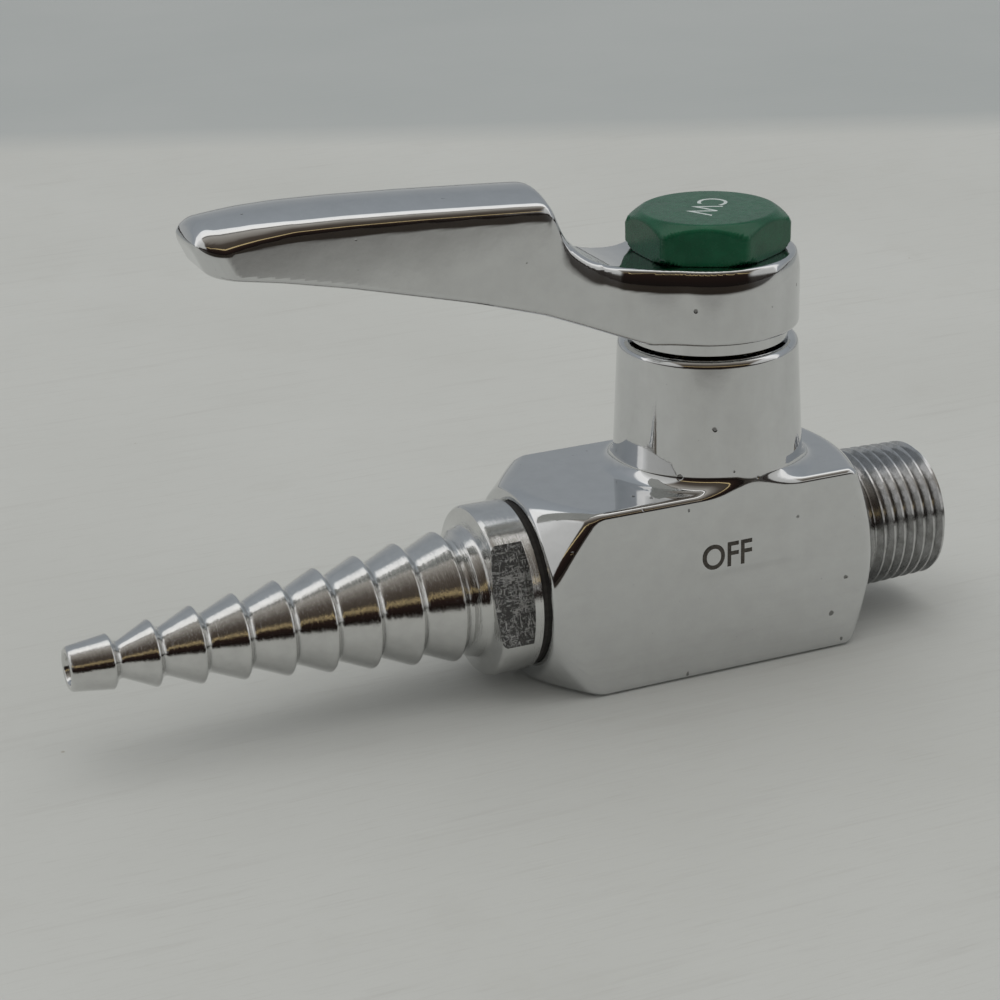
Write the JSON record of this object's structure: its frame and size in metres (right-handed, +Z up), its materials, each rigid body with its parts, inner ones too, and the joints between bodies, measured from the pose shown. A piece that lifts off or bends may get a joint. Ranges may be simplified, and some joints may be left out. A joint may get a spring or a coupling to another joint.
{
  "type": "laboratory ball valve",
  "caption": "Chrome-plated ball valve with a square body, a serrated hose nozzle, a male pipe thread and a quarter-turn lever.",
  "frame": {"origin": "on the flat underside of the body, below the stem's axis", "axes": "+X along the flow axis towards the inlet thread, +Z up along the stem, -Y out of the marked front face"},
  "size_m": [0.1097, 0.023, 0.0615],
  "materials": {
    "body_chrome": "nickel and chrome plated brass, polished, with small pits",
    "nozzle_chrome": "chrome plated, turning marks left on the cones",
    "lever_chrome": "chrome plated casting, polished",
    "ball_chrome": "polished",
    "brass": "machined",
    "stop_steel": "darkened steel",
    "screw_steel": "plain steel",
    "seat_plastic": "white low-friction plastic",
    "seal_rubber": "black seal rubber",
    "gasket": "dark fibre ring",
    "button_plastic": "dark green moulded plastic with white engraved letters"
  },
  "bodies": {
    "valve_body": {"body": "body_chrome", "hose_nozzle": "nozzle_chrome", "nozzle_gasket": "gasket", "seat_retainer": "brass", "retainer_o_ring": "seal_rubber", "outlet_seat": "seat_plastic", "inlet_seat": "seat_plastic", "inlet_backing_ring": "seal_rubber", "stop_pin": "stop_steel", "thrust_washer": "seat_plastic", "packing_base_ring": "seat_plastic", "lower_packing_ring": "seat_plastic", "upper_packing_ring": "seat_plastic", "gland_follower": "brass", "gland_nut": "brass"},
    "lever_and_ball": {"ball": "ball_chrome", "stem": "brass", "lower_stem_o_ring": "seal_rubber", "upper_stem_o_ring": "seal_rubber", "stop_collar": "stop_steel", "lever": "lever_chrome", "lock_washer": "screw_steel", "lever_screw": "screw_steel", "index_button": "button_plastic"}
  },
  "joints": [
    {"name": "lever_turn", "type": "hinge", "parent": "valve_body", "child": "lever_and_ball", "pos_m": [0, 0, 0.0115], "axis": [0, 0, 1], "range_deg": [0, 90]}
  ]
}
